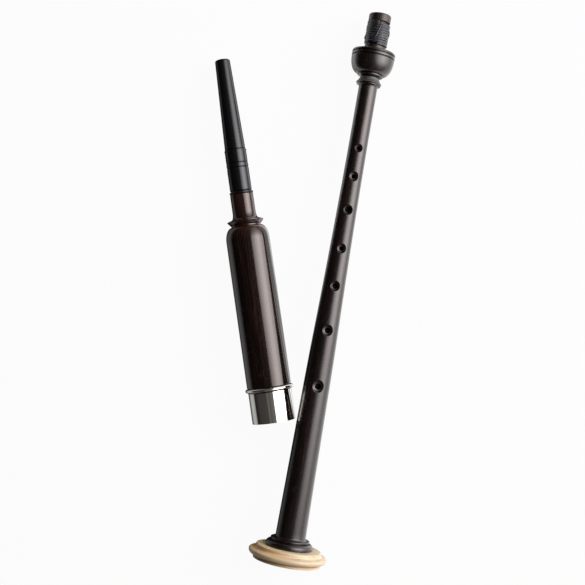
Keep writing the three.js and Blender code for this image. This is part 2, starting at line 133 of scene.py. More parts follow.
sleeve = Sizes(
    length=27.6, bore_radius=5.05, radius=6.8, end_radius=6.73, foot_ring_radius=7.4,
    foot_ring_height=1.45, bead_place=16.75, bead_height=2.2, groove_radius=6.15, groove_height=0.7,
    lip_radius=6.85, lip_height=0.9,
)
mouthpiece = Sizes(
    length=56.9, foot_radius=6.42, foot_chamfer=0.2, tip_radius=4.68, tip_round=1.3,
    airway_radius=2.1, tenon_stop=1.8, recess_depth=1.15, recess_length=7, recess_place=3,
)

# Heights along the chanter, from the sole's bottom face
LOWER_BEAD = sole.thickness
FOOT_GROOVE = LOWER_BEAD + foot.lower_bead_height
UPPER_BEAD = FOOT_GROOVE + foot.groove_height
FOOT_COVE = UPPER_BEAD + foot.upper_bead_height
SHAFT = FOOT_COVE + foot.cove_height
COLLAR = SHAFT + shaft.length
COLLAR_STEP = COLLAR + collar.cove_height
COLLAR_BEAD = COLLAR_STEP + collar.step_height
COLLAR_EDGE = COLLAR_BEAD + collar.bead_height + collar.slant_height
WAIST = COLLAR_EDGE + collar.edge_height + collar.cone_height
COLLAR_RING = WAIST + collar.waist_height
COLLAR_GROOVE = COLLAR_RING + collar.ring_height
BULB = COLLAR_GROOVE + collar.groove_height
RIM = BULB + bulb.body_height
TENON = RIM + 2 * (bulb.groove_height + bulb.ring_height)
RECESS = TENON + tenon.neck_length
TIP = RECESS + tenon.recess_length
END = TIP + tenon.tip_length

# Heights along the top section, from the ferrule's mouth
BARREL = ferrule.tube_length + ferrule.bead_height + SEAT
SHOULDER = BARREL + barrel.length
TOP_GROOVE = SHOULDER + barrel.shoulder_height
TOP_COLLAR = TOP_GROOVE + barrel.groove_height
TOP_EDGE = TOP_COLLAR + top_collar.cone_height
TOP_CONE = TOP_EDGE + top_collar.edge_height
TOP_FLARE = TOP_CONE + top_collar.top_cone_height
STEM = TOP_FLARE + top_collar.flare_height
SLEEVE = STEM + stem.length
MOUTHPIECE = SLEEVE + sleeve.length

# Radii and lengths of pieces that fit one in another
RECESS_RADIUS = tenon.tip_radius - tenon.recess_depth
CORE_RADIUS = RECESS_RADIUS + SEAT + thread.core_thickness
WINDING_RADIUS = CORE_RADIUS + SEAT + thread.diameter
SOCKET_RADIUS = WINDING_RADIUS + SOCKET_PLAY
SLEEVE_TENON_RADIUS = sleeve.bore_radius - SEAT
MOUTHPIECE_TENON = sleeve.length - stem.spigot_length - mouthpiece.tenon_stop
MOUTHPIECE_RECESS_RADIUS = SLEEVE_TENON_RADIUS - mouthpiece.recess_depth


# The level direction to the right of another one, seen from above
def level_across(along):
    return Vector((along.y, -along.x, 0)).normalized()


# Frames of the two sections, from the frame's own mounts and joints: x across, y along, z up
def section_frame(start, along):
    across = level_across(along)
    above = across.cross(along)
    turn = Matrix((across, along, above)).transposed().to_4x4()
    return Matrix.Translation(start) @ turn @ Matrix.Scale(MM, 4)


def named(rows, name):
    return next(row for row in rows if row["name"] == name)


def chanter_frame():
    face = named(record["mounts"], "sole_face")
    along = -Vector(face["axis"])
    start = Vector(face["pos_m"]) - level_across(along) * sole.mount_aside * MM
    return section_frame(start, along)


def top_frame():
    twist = named(record["behaviour"]["joints"], "mouthpiece_twist")
    along = Vector(twist["axis"])
    return section_frame(Vector(twist["pos_m"]) - along * MOUTHPIECE * MM, along)


CHANTER = chanter_frame()
TOP = top_frame()


# Shares from 0 to 1 in equal steps
def shares_of(steps):
    return [i / steps for i in range(steps + 1)]


# Outlines: points of radius and height
def point(radius, height):
    return Vector((radius, height))


# A quarter of an ellipse between two points, which leaves the first one along the axis or across it
def quarter(start, end, leaves, steps=ARC_STEPS):
    points = []
    for share in shares_of(steps):
        turn = share * pi / 2
        early = 1 - cos(turn)
        late = sin(turn)
        across, along = (early, late) if leaves == "along" else (late, early)
        radius = start.x + (end.x - start.x) * across
        height = start.y + (end.y - start.y) * along
        points.append(point(radius, height))
    return points


def bead(edge_radius, peak_radius, low, height):
    peak = point(peak_radius, low + height / 2)
    rise = quarter(point(edge_radius, low), peak, "across")
    return rise + quarter(peak, point(edge_radius, low + height), "along")


def groove(radius, low, height):
    return [point(radius, low), point(radius, low + height)]


# A pointed groove, cut down to a radius at its middle
def notch(radius, low, height):
    half = height * NOTCH_FLOOR_SHARE / 2
    return groove(radius, low + height / 2 - half, 2 * half)


# A slant between two points, hollowed towards the axis by a depth at its middle
def hollowed(start, end, depth):
    points = []
    for share in shares_of(ARC_STEPS):
        points.append(start.lerp(end, share) - point(depth * sin(pi * share), 0))
    return points


# A plain ring between two radii and two heights
def ring_outline(inner, outer, low, high):
    return [point(inner, low), point(outer, low), point(outer, high), point(inner, high)]


# One outline from points and lists of points, without a point twice in a row
def outline_of(*pieces):
    points = []
    for piece in pieces:
        for p in piece if isinstance(piece, list) else [piece]:
            if not points or (p - points[-1]).length > 0:
                points.append(p)
    return points


# A closed outline with its sharp corners softened, and a guard point on each side of a soft corner
def softened(points, radius):
    soft = []
    befores = points[-1:] + points[:-1]
    afters = points[1:] + points[:1]
    for before, corner, after in zip(befores, points, afters):
        back = before - corner
        ahead = after - corner
        turn = pi - back.angle(ahead)
        if turn < SHARP_TURN:
            soft.append(corner)
            continue
        reach = min(radius * tan(turn / 2), CORNER_CUT_SHARE * min(back.length, ahead.length))
        start = corner + back.normalized() * reach
        end = corner + ahead.normalized() * reach
        soft.append(corner.lerp(start, CORNER_GUARD_SHARE))
        for share in shares_of(CORNER_STEPS):
            soft.append(start.lerp(corner, share).lerp(corner.lerp(end, share), share))
        soft.append(corner.lerp(end, CORNER_GUARD_SHARE))
    return soft


# Radius of the shaft at a height, on a smooth curve through the taper shares
def shaft_radius(height):
    share = min(max((height - SHAFT) / shaft.length, 0), 1)
    places = shaft.length_shares
    values = shaft.taper_shares
    last = len(places) - 1
    i = max(k for k in range(last) if places[k] <= share)
    low = max(i - 1, 0)
    high = min(i + 2, last)
    width = places[i + 1] - places[i]
    t = (share - places[i]) / width
    slope_low = (values[i + 1] - values[low]) / (places[i + 1] - places[low]) * width
    slope_high = (values[high] - values[i]) / (places[high] - places[i]) * width
    taper = (2 * t**3 - 3 * t**2 + 1) * values[i] + (t**3 - 2 * t**2 + t) * slope_low
    taper += (3 * t**2 - 2 * t**3) * values[i + 1] + (t**3 - t**2) * slope_high
    return shaft.neck_radius + (shaft.foot_radius - shaft.neck_radius) * taper


def sole_outline():
    rim_low = sole.lip_height + sole.groove_height
    step_low = sole.thickness - sole.step_height
    cove = point(sole.cove_radius, step_low - sole.cove_height)
    step = point(sole.step_radius, sole.thickness - sole.top_round)
    return outline_of(
        point(foot.spigot_radius + SEAT, 0),
        point(sole.lip_radius, 0),
        point(sole.lip_radius, sole.lip_height),
        groove(sole.groove_radius, sole.lip_height, sole.groove_height),
        quarter(point(sole.lip_radius, rim_low), point(sole.rim_radius, sole.rim_centre), "across"),
        quarter(point(sole.rim_radius, sole.rim_centre), cove, "along"),
        quarter(cove, point(sole.step_radius, step_low), "across"),
        quarter(step, point(sole.step_radius - sole.top_round, sole.thickness), "along"),
        point(foot.spigot_radius + SEAT, sole.thickness),
    )


# Places of the holes: height, turn from straight up, radius of the bore and radius of the dish
def hole_list():
    shares = zip(holes.place_shares, holes.bore_shares, holes.dish_shares)
    rows = [(*row, 0) for row in shares]
    rows.append((thumb_hole.place_share, thumb_hole.bore_share, thumb_hole.dish_share, pi))
    return [
        Sizes(
            height=SHAFT + place * shaft.length,
            turn=turn,
            bore=holes.bore_radius * bore,
            dish=holes.dish_radius * dish,
        )
        for place, bore, dish, turn in rows
    ]


# A hole's patch: how many columns and rows of the shaft it takes, and its half height as a share
PATCH_COLUMNS = 14
PATCH_ROWS = 24
PATCH_DISH_SHARE = 1.22
BORE_PATCH_MARGIN = 0.6
BORE_PATCH_SPARE_COLUMNS = 4


def patch_heights(hole):
    half = hole.dish * PATCH_DISH_SHARE
    return [hole.height - half + 2 * half * i / PATCH_ROWS for i in range(PATCH_ROWS + 1)]


def shaft_points():
    heights = []
    patches = [patch_heights(hole) for hole in sorted(hole_list(), key=lambda hole: hole.height)]
    low = SHAFT
    for patch in patches + [[COLLAR]]:
        steps = max(1, round((patch[0] - low) / shaft.row_spacing))
        heights += [low + (patch[0] - low) * i / steps for i in range(steps)]
        heights += patch[:-1]
        low = patch[-1]
    heights.append(COLLAR)
    return [point(shaft_radius(height), height) for height in heights]


def chanter_outside():
    bead_top = point(foot.lower_bead_radius, FOOT_GROOVE - foot.lower_bead_round)
    rim_top = point(bulb.ring_radius, TENON - bulb.ring_height)
    tip = point(tenon.tip_radius, END - tenon.tip_round)
    cone_low = point(collar.edge_radius, COLLAR_EDGE + collar.edge_height)
    ring_low = point(collar.ring_low_radius, COLLAR_RING)
    low_groove = notch(bulb.groove_radius, RIM, bulb.groove_height)
    ring = groove(bulb.ring_radius, RIM + bulb.groove_height, bulb.ring_height)
    high_groove = notch(
        bulb.groove_radius, RIM + bulb.groove_height + bulb.ring_height, bulb.groove_height
    )
    return outline_of(
        point(foot.spigot_radius, 0),
        point(foot.spigot_radius, LOWER_BEAD + SEAT),
        point(foot.lower_bead_radius, LOWER_BEAD + SEAT),
        quarter(bead_top, point(foot.upper_bead_radius, FOOT_GROOVE), "along"),
        notch(foot.groove_radius, FOOT_GROOVE, foot.groove_height),
        bead(foot.groove_radius, foot.upper_bead_radius, UPPER_BEAD, foot.upper_bead_height),
        quarter(point(foot.groove_radius, FOOT_COVE), point(shaft.foot_radius, SHAFT), "across"),
        shaft_points(),
        quarter(point(shaft.neck_radius, COLLAR), point(collar.cove_radius, COLLAR_STEP), "along"),
        point(collar.step_radius, COLLAR_BEAD),
        bead(collar.bead_edge_radius, collar.bead_radius, COLLAR_BEAD, collar.bead_height),
        groove(collar.edge_radius, COLLAR_EDGE, collar.edge_height),
        hollowed(cone_low, point(collar.cone_top_radius, WAIST), collar.cone_hollow),
        point(collar.waist_radius, WAIST + collar.waist_floor),
        quarter(ring_low, point(collar.ring_radius, COLLAR_RING + collar.ring_round), "across"),
        point(collar.ring_radius, COLLAR_GROOVE),
        notch(collar.groove_radius, COLLAR_GROOVE, collar.groove_height),
        quarter(point(bulb.start_radius, BULB), point(bulb.radius, RIM), "across", 2 * ARC_STEPS),
        low_groove,
        ring,
        high_groove,
        quarter(rim_top, point(bulb.top_radius, TENON), "along"),
        point(tenon.neck_radius, TENON),
        point(tenon.neck_radius, RECESS),
        groove(RECESS_RADIUS, RECESS, tenon.recess_length),
        point(tenon.tip_radius, TIP),
        quarter(tip, point(tenon.tip_radius - tenon.tip_round, END), "along"),
    )


def chanter_inside():
    heights = []
    for hole in sorted(hole_list(), key=lambda hole: -hole.height):
        reach = hole.bore + BORE_PATCH_MARGIN
        heights += [hole.height + reach, hole.height, hole.height - reach]
    return outline_of(
        groove(tenon.reed_seat_radius, END, -tenon.reed_seat_depth),
        point(shaft.bore_radius, END - tenon.reed_seat_depth),
        [point(shaft.bore_radius, height) for height in heights],
        point(shaft.bore_radius, foot.mouth_depth + foot.mouth_taper),
        point(foot.mouth_radius, foot.mouth_depth),
        point(foot.mouth_radius, 0),
    )


def top_outline():
    spigot_radius = ferrule.radius - ferrule.wall - SEAT
    spigot_end = SLEEVE + stem.spigot_length
    shoulder_top = point(barrel.shoulder_top_radius, TOP_GROOVE)
    return outline_of(
        point(spigot_radius, barrel.mouth_setback),
        point(spigot_radius, BARREL),
        point(barrel.foot_radius, BARREL),
        quarter(point(barrel.shoulder_radius, SHOULDER), shoulder_top, "along", 2 * ARC_STEPS),
        point(barrel.shoulder_top_radius, TOP_COLLAR),
        point(top_collar.edge_radius, TOP_EDGE),
        point(top_collar.edge_radius, TOP_CONE),
        quarter(point(top_collar.flare_radius, TOP_FLARE), point(stem.radius, STEM), "across"),
        point(stem.radius, SLEEVE - SEAT),
        point(SLEEVE_TENON_RADIUS, SLEEVE - SEAT),
        point(SLEEVE_TENON_RADIUS, spigot_end),
        point(barrel.airway_radius, spigot_end),
        point(barrel.airway_radius, barrel.chamber_depth + barrel.chamber_point),
        point(SOCKET_RADIUS, barrel.chamber_depth),
        point(SOCKET_RADIUS, barrel.mouth_setback),
    )


def ferrule_outline():
    inside = ferrule.radius - ferrule.wall
    return outline_of(
        point(ferrule.radius, 0),
        bead(ferrule.radius, ferrule.bead_radius, ferrule.tube_length, ferrule.bead_height),
        point(inside, ferrule.tube_length + ferrule.bead_height),
        point(inside, 0),
    )


def sleeve_outline():
    bead_end = sleeve.bead_place + sleeve.bead_height
    lip_low = sleeve.length - sleeve.lip_height
    points = outline_of(
        bead(sleeve.radius, sleeve.foot_ring_radius, 0, sleeve.foot_ring_height),
        notch(sleeve.groove_radius, sleeve.foot_ring_height, sleeve.groove_height),
        point(sleeve.radius, sleeve.foot_ring_height + sleeve.groove_height),
        point(sleeve.radius, sleeve.bead_place - sleeve.groove_height),
        notch(sleeve.groove_radius, sleeve.bead_place - sleeve.groove_height, sleeve.groove_height),
        groove(sleeve.radius, sleeve.bead_place, sleeve.bead_height),
        notch(sleeve.groove_radius, bead_end, sleeve.groove_height),
        point(sleeve.end_radius, bead_end + sleeve.groove_height),
        bead(sleeve.end_radius, sleeve.lip_radius, lip_low, sleeve.lip_height),
        point(sleeve.bore_radius, sleeve.length),
        point(sleeve.bore_radius, 0),
    )
    return raised(points, SLEEVE)


def mouthpiece_outline():
    recess_low = -mouthpiece.recess_place - mouthpiece.recess_length
    tip = point(mouthpiece.tip_radius, mouthpiece.length - mouthpiece.tip_round)
    end = point(mouthpiece.tip_radius - mouthpiece.tip_round, mouthpiece.length)
    points = outline_of(
        point(SLEEVE_TENON_RADIUS, -MOUTHPIECE_TENON),
        point(SLEEVE_TENON_RADIUS, recess_low),
        groove(MOUTHPIECE_RECESS_RADIUS, recess_low, mouthpiece.recess_length),
        point(SLEEVE_TENON_RADIUS, -mouthpiece.recess_place),
        point(SLEEVE_TENON_RADIUS, SEAT),
        point(mouthpiece.foot_radius - mouthpiece.foot_chamfer, SEAT),
        point(mouthpiece.foot_radius, SEAT + mouthpiece.foot_chamfer),
        quarter(tip, end, "along"),
        point(mouthpiece.airway_radius, mouthpiece.length),
        point(mouthpiece.airway_radius, -MOUTHPIECE_TENON),
    )
    return raised(points, MOUTHPIECE)


def raised(points, height):
    return [point(p.x, p.y + height) for p in points]


# A point of a turned piece at a radius, a height and a turn from straight up
def turned_point(radius, height, turn):
    return Vector((radius * sin(turn), height, radius * cos(turn)))


def placed(name, data):
    thing = bpy.data.objects.new(name, data)
    bpy.context.collection.objects.link(thing)
    return thing


# Meshes are built in their section's own millimetres, which each point also keeps for its material
def piece_from(mesh_builder, name, material, body, slot, *nodes):
    mesh = bpy.data.meshes.new(name)
    bmesh.ops.recalc_face_normals(mesh_builder, faces=mesh_builder.faces)
    mesh_builder.to_mesh(mesh)
    mesh_builder.free()
    place = mesh.attributes.new("turned_at", "FLOAT_VECTOR", "POINT")
    for vertex, row in zip(mesh.vertices, place.data):
        row.vector = vertex.co
    mesh.transform(CHANTER if body == "chanter" else TOP)
    mesh.shade_smooth()
    mesh.materials.append(material)
    piece = placed(name, mesh)
    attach(piece, body)
    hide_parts(*nodes)
    return piece


def turned(points, first_turn=0.0, skipped=()):
    builder = bmesh.new()
    rows = []
    for p in points:
        turns = (first_turn + 2 * pi * k / COLUMNS for k in range(COLUMNS))
        rows.append([builder.verts.new(turned_point(p.x, p.y, turn)) for turn in turns])
    for i, row in enumerate(rows):
        above = rows[(i + 1) % len(rows)]
        for k in range(COLUMNS):
            if (i, k) not in skipped:
                beside = (k + 1) % COLUMNS
                builder.faces.new((row[k], row[beside], above[beside], above[k]))
    return builder, rows


# Vertices round a block of the turned grid, once round
def block_edge(rows, low, high, left, right):
    edge = [rows[low][k % COLUMNS] for k in range(left, right)]
    edge += [rows[i][right % COLUMNS] for i in range(low, high)]
    edge += [rows[high][k % COLUMNS] for k in range(right, left, -1)]
    edge += [rows[i][left % COLUMNS] for i in range(high, low, -1)]
    return edge


def block_cells(low, high, left, right):
    return {(i, k % COLUMNS) for i in range(low, high) for k in range(left, right)}


def nearest_row(points, radius, height):
    return min(range(len(points)), key=lambda i: (points[i] - point(radius, height)).length)


# The lower of two values, with the corner between them rounded
def soft_min(a, b, width):
    near = max(width - abs(a - b), 0) / width
    return min(a, b) - near * near * width / 4


# Rounding of a dish's rim and of the bore's edge in it, the dish's bowl shape, and its rings
HOLE_RIM_ROUND = 0.65
HOLE_EDGE_ROUND = 0.3
BOWL_POWER = 2.2
DISH_RINGS = 12
DISH_OUTER_SHARE = 1.08
WALL_RINGS = 4


# Rings of a hole from the shaft's surface down to the bore: radius from the hole's axis, and a rule
# for the distance from the shaft's axis
def hole_rings(hole):
    surface = shaft_radius(hole.height)

    def bowl(radius):
        inward = (hole.dish - radius) / (hole.dish - hole.bore)
        return surface - holes.dish_depth * (1 - (1 - inward) ** BOWL_POWER)

    def on_shaft(a, b):
        return sqrt(shaft_radius(hole.height + b) ** 2 - a**2)

    def dished(a, b):
        return soft_min(on_shaft(a, b), bowl(hypot(a, b)), HOLE_RIM_ROUND)

    outer = hole.dish * DISH_OUTER_SHARE
    inner = hole.bore + HOLE_EDGE_ROUND
    rings = [(None, on_shaft)]
    for i in range(DISH_RINGS + 1):
        rings.append((outer + (inner - outer) * i / DISH_RINGS, dished))
    floor = bowl(inner)
    for share in shares_of(CORNER_STEPS)[1:]:
        turn = share * pi / 2
        depth = floor - HOLE_EDGE_ROUND * (1 - cos(turn))
        rings.append((inner - HOLE_EDGE_ROUND * sin(turn), lambda a, b, depth=depth: depth))
    edge = floor - HOLE_EDGE_ROUND
    for share in shares_of(WALL_RINGS)[1:]:

        def wall(a, b, share=share):
            return edge + (sqrt(shaft.bore_radius**2 - a**2) - edge) * share

        rings.append((hole.bore, wall))
    return rings


# Blocks of the turned grid that a hole takes: outside for its dish, and inside for its bore
def dish_block(points, hole, middle):
    ends = patch_heights(hole)[0], patch_heights(hole)[-1]
    low, high = (nearest_row(points, shaft_radius(height), height) for height in ends)
    return low, high, middle - PATCH_COLUMNS, middle + PATCH_COLUMNS


def bore_block(points, hole, middle):
    reach = hole.bore + BORE_PATCH_MARGIN
    high = nearest_row(points, shaft.bore_radius, hole.height + reach)
    low = nearest_row(points, shaft.bore_radius, hole.height - reach)
    covered = asin(hole.bore / shaft.bore_radius)
    half = ceil(covered / (2 * pi) * COLUMNS) + BORE_PATCH_SPARE_COLUMNS
    return high, low, middle - half, middle + half


def drill(builder, edge, hole):
    turn = radians(holes.row_degrees) + hole.turn
    outwards = turned_point(1, 0, turn)
    aside = Vector((cos(turn), 0, -sin(turn)))
    flat = [(vertex.co.dot(aside), vertex.co.y - hole.height) for vertex in edge]
    dish_edge = hole.dish * DISH_OUTER_SHARE
    ring = edge
    for radius, depth_rule in hole_rings(hole):
        following = []
        for a, b in flat:
            reach = radius if radius else (hypot(a, b) + dish_edge) / 2
            scale = reach / hypot(a, b)
            depth = depth_rule(a * scale, b * scale)
            place = outwards * depth + aside * a * scale
            following.append(builder.verts.new(place + Vector((0, hole.height + b * scale, 0))))
        join(builder, ring, following)
        ring = following
    return ring


def join(builder, ring, following):
    for k, vertex in enumerate(ring):
        beside = (k + 1) % len(ring)
        builder.faces.new((vertex, ring[beside], following[beside], following[k]))


def loop_edges(builder, ring):
    pairs = zip(ring, ring[1:] + ring[:1])
    return [builder.edges.get(pair) or builder.edges.new(pair) for pair in pairs]


# The chanter's wood is satin outside, bare on the tenon and open end grain on the collar's cone
def chanter_body(satin, bare, end_grain):
    points = softened(chanter_outside() + chanter_inside(), WOOD_ROUND)
    skipped = set()
    drilled = []
    for hole in hole_list():
        middle = COLUMNS // 2 if hole.turn else 0
        dish = dish_block(points, hole, middle)
        bore = bore_block(points, hole, middle)
        skipped |= block_cells(*dish) | block_cells(*bore)
        drilled.append((hole, dish, bore))
    builder, rows = turned(points, radians(holes.row_degrees), skipped)
    for hole, dish, bore in drilled:
        ring = drill(builder, block_edge(rows, *dish), hole)
        opening = block_edge(rows, *bore)
        edges = loop_edges(builder, ring) + loop_edges(builder, opening)
        bmesh.ops.bridge_loops(builder, edges=edges)
    for face in builder.faces:
        height = min(vertex.co.y for vertex in face.verts)
        face.material_index = int(height > TENON) + 2 * int(COLLAR_EDGE < height < WAIST)
    body = ("chanter", "blackwood", "chanter_body")
    piece = piece_from(builder, "holed_shaft", satin, *body)
    piece.data.materials.append(bare)
    piece.data.materials.append(end_grain)


def turned_piece(name, points, corner, material, *body):
    builder, _ = turned(softened(points, corner))
    piece_from(builder, name, material, *body)


# Sides of a thread, its steps in a loop, how far its width swells, how often in a loop it lifts off
# and wanders, and how sharply a crossing one dips at its ends
THREAD_SIDES = 10
STRAND_STEPS = 56
STRAND_SWELL_SHARE = 0.16
LIFT_RATE = 2.3
WANDER_RATE = 1.9
DIP_POWER = 6

# Layers of thread: the tenon's outer one, the one under it, sunk by a share of the outer one's
# radius, and the mouthpiece's packing
THREAD_PITCH = 1.62
CROSSING_RADIUS = 0.4
outer_layer = Sizes(radius=0.72, pitch=THREAD_PITCH, wander=0.5, lift=0.2, seed=3.7)
under_layer = Sizes(radius=0.62, pitch=THREAD_PITCH, wander=0.5, lift=0, seed=8.1, sink_share=0.3)
packing = Sizes(radius=0.3, pitch=0.58, wander=0.1, lift=0.05, seed=5.3)

# Crossing strands: height above the recess's floor and degrees from straight up, at both ends
CROSSINGS = (
    ((12.3, 9), (4.2, -9)),
    ((3.2, -75), (8.5, -128)),
    ((11.2, 62), (6.1, 118)),
    ((2.6, 150), (10.8, 196)),
)


# Thread: one closed tube round a path, with flat ends, its section carried along without twist
def add_strand(builder, path, radius):
    directions = []
    for i, _ in enumerate(path):
        before = path[max(i - 1, 0)]
        after = path[min(i + 1, len(path) - 1)]
        directions.append((after - before).normalized())
    normal = Vector((0, 1, 0))
    ring = None
    for i, centre in enumerate(path):
        normal = (normal - directions[i] * normal.dot(directions[i])).normalized()
        side = directions[i].cross(normal)
        width = radius * (1 + STRAND_SWELL_SHARE * noise.noise(centre))
        following = []
        for k in range(THREAD_SIDES):
            turn = 2 * pi * k / THREAD_SIDES
            corner = centre + (normal * cos(turn) + side * sin(turn)) * width
            following.append(builder.verts.new(corner))
        if ring:
            join(builder, ring, following)
        else:
            builder.faces.new(following)
        ring = following
    builder.faces.new(ring)


# A strand on a helix that wanders along the axis and lifts off it a little
def wind(builder, layer, radius, low, high):
    loops = max(1, round((high - low) / layer.pitch))
    steps = loops * STRAND_STEPS
    path = []
    for share in shares_of(steps):
        turn = 2 * pi * loops * share
        away = noise.noise(Vector((loops * share * LIFT_RATE, layer.seed, 0)))
        along = noise.noise(Vector((0, layer.seed, loops * share * WANDER_RATE)))
        calm = min(1, min(share, 1 - share) * loops)
        height = low + (high - low) * share + layer.wander * along * calm
        path.append(turned_point(radius + layer.lift * away, height, turn))
    add_strand(builder, path, layer.radius)


# A strand that crosses the loops from one place to another, and dips in among them at both ends
def cross(builder, start, end):
    path = []
    for share in shares_of(STRAND_STEPS):
        height, degrees = (a + (b - a) * share for a, b in zip(start, end))
        dip = outer_layer.radius * abs(2 * share - 1) ** DIP_POWER
        turn = radians(degrees)
        path.append(turned_point(WINDING_RADIUS - dip, RECESS + height, turn))
    add_strand(builder, path, CROSSING_RADIUS)


def tenon_winding(material):
    outer = WINDING_RADIUS - outer_layer.radius
    inner = outer - under_layer.sink_share * outer_layer.radius
    low = RECESS + outer_layer.radius
    high = TIP - outer_layer.radius
    half = THREAD_PITCH / 2
    builder = bmesh.new()
    wind(builder, outer_layer, outer, low, high)
    wind(builder, under_layer, inner, low + half, high - half)
    for start, end in CROSSINGS:
        cross(builder, start, end)
    body = ("chanter", "waxed_thread", "tenon_hemp_thread")
    piece_from(builder, "tenon_winding", material, *body)


def mouthpiece_packing(material):
    low = MOUTHPIECE - mouthpiece.recess_place - mouthpiece.recess_length + SEAT
    high = MOUTHPIECE - mouthpiece.recess_place - SEAT
    edge = packing.radius
    outer = SLEEVE_TENON_RADIUS - edge
    core = ring_outline(MOUTHPIECE_RECESS_RADIUS + SEAT, outer, low, high)
    builder, _ = turned(softened(core, METAL_ROUND))
    wind(builder, packing, outer, low + edge, high - edge)
    body = ("mouthpiece_packing", "waxed_thread", "mouthpiece_hemp")
    piece_from(builder, "mouthpiece_winding", material, *body)


# Materials. A node with its settings, its inputs linked to sockets or set to values
def add(tree, kind, inputs=None, **settings):
    node = tree.nodes.new("ShaderNode" + kind)
    for key, value in settings.items():
        setattr(node, key, value)
    for key, value in (inputs or {}).items():
        if isinstance(value, bpy.types.NodeSocket):
            tree.links.new(value, node.inputs[key])
        else:
            node.inputs[key].default_value = value
    return node


def new_material(name, specular=0.5, tint=(1, 1, 1), **shader_values):
    material = bpy.data.materials.new(name)
    material.use_nodes = True
    tree = material.node_tree
    shader = tree.nodes["Principled BSDF"]
    shader_values |= {"Specular_IOR_Level": specular, "Specular_Tint": (*tint, 1)}
    for key, value in shader_values.items():
        shader.inputs[key.replace("_", " ")].default_value = value
    return material, tree, shader


def turned_at(tree):
    return add(tree, "Attribute", attribute_name="turned_at").outputs["Vector"]


def part_of(tree, vector, axis):
    return add(tree, "SeparateXYZ", {"Vector": vector}).outputs[axis]


def dotted(tree, vector, direction):
    inputs = {0: vector, 1: direction}
    return add(tree, "VectorMath", inputs, operation="DOT_PRODUCT").outputs["Value"]


def computed(tree, operation, a, b):
    return add(tree, "Math", {0: a, 1: b}, operation=operation).outputs[0]


# Noise that changes at a rate of its own along each axis
def noise_of(tree, vector, rates, detail=3.0, roughness=0.5, distortion=0.0):
    scaled = add(tree, "VectorMath", {0: vector, 1: rates}, operation="MULTIPLY")
    inputs = {"Vector": scaled.outputs["Vector"], "Scale": 1.0, "Detail": detail}
    inputs |= {"Roughness": roughness, "Distortion": distortion}
    return add(tree, "TexNoise", inputs).outputs["Fac"]


def spread(tree, factor, low, high, to_low=0.0, to_high=1.0):
    inputs = {"Value": factor, "From Min": low, "From Max": high}
    inputs |= {"To Min": to_low, "To Max": to_high}
    return add(tree, "MapRange", inputs).outputs["Result"]


# Most of a noise lies between these values, and is spread from one end of a range to the other
NOISE_SPAN = (0.3, 0.7)


def varied(tree, source, low=0.0, high=1.0):
    return spread(tree, source, *NOISE_SPAN, low, high)


# Colours that a factor runs through, at places in it from 0 to 1
def ramp(tree, factor, stops):
    node = add(tree, "ValToRGB", {"Fac": factor})
    elements = node.color_ramp.elements
    while len(elements) < len(stops):
        elements.new(0.5)
    for element, (place, colour) in zip(elements, stops):
        element.position = place
        element.color = (*colour, 1)
    return node.outputs["Color"]


# The same, at places in the units of the value
def ramp_over(tree, value, stops):
    low, high = stops[0][0], stops[-1][0]
    shares = [((at - low) / (high - low), colour) for at, colour in stops]
    return ramp(tree, spread(tree, value, low, high), shares)


def greys(stops):
    return [(at, (share,) * 3) for at, share in stops]


# Sockets of a mixing node that are for colours
MIX_A, MIX_B, MIX_RESULT = 6, 7, 2


def mixed(tree, factor, a, b, blend="MIX"):
    inputs = {0: factor, MIX_A: a, MIX_B: b}
    node = add(tree, "Mix", inputs, data_type="RGBA", blend_type=blend)
    return node.outputs[MIX_RESULT]


def multiplied(tree, a, b):
    return mixed(tree, 1.0, a, b, "MULTIPLY")


def surfaced(tree, shader, colour, roughness):
    tree.links.new(colour, shader.inputs["Base Color"])
    tree.links.new(roughness, shader.inputs["Roughness"])


def bumped(tree, shader, height, distance, strength, under=None):
    inputs = {"Height": height, "Distance": distance * MM, "Strength": strength}
    if under:
        inputs["Normal"] = under
    normal = add(tree, "Bump", inputs).outputs["Normal"]
    tree.links.new(normal, shader.inputs["Normal"])
    return normal


# Turning marks: a value that changes only with the height along the axis and the radius
def lathe_marks(tree, place, rate):
    parts = add(tree, "SeparateXYZ", {"Vector": place}).outputs
    flat = add(tree, "CombineXYZ", {"X": parts["X"], "Y": parts["Z"]})
    length = add(tree, "VectorMath", {0: flat.outputs["Vector"]}, operation="LENGTH")
    inputs = {"X": length.outputs["Value"], "Y": parts["Y"]}
    rings = add(tree, "CombineXYZ", inputs).outputs["Vector"]
    return noise_of(tree, rings, (rate,) * 3, detail=4.0, roughness=0.6)


# Blackwood: rates of its noises in each direction, the lean of its reddish flecks, the values over
# which its fibres, flecks, pores and their dents set in, and its colours
wood = Sizes(
    figure_rates=(0.42, 0.016, 0.42),
    fibre_rates=(3.4, 0.07, 3.4),
    fleck_rates=(1.5, 0.13, 1.5),
    pore_rates=(6.5, 0.45, 6.5),
    fleck_lean_degrees=17,
    fibre_span=(0.35, 0.68),
    fleck_span=(0.57, 0.70),
    pore_span=(0.64, 0.72),
    dent_span=(0.62, 0.72),
    figure_tones=(
        (0.34, (0.0012, 0.0009, 0.0009)),
        (0.50, (0.0028, 0.0017, 0.0015)),
        (0.62, (0.011, 0.0044, 0.0037)),
        (0.74, (0.044, 0.0135, 0.0098)),
    ),
    fibre_tones=((0.45, 0.42, 0.42, 1), (1.45, 1.35, 1.3, 1)),
    worn_fibre_shares=((0.3, 0.25), (0.7, 1)),
    worn_brown=(0.042, 0.0135, 0.0095, 1),
    fleck_red=(0.078, 0.018, 0.0145, 1),
    pore_black=(0.002, 0.0015, 0.0015, 1),
)

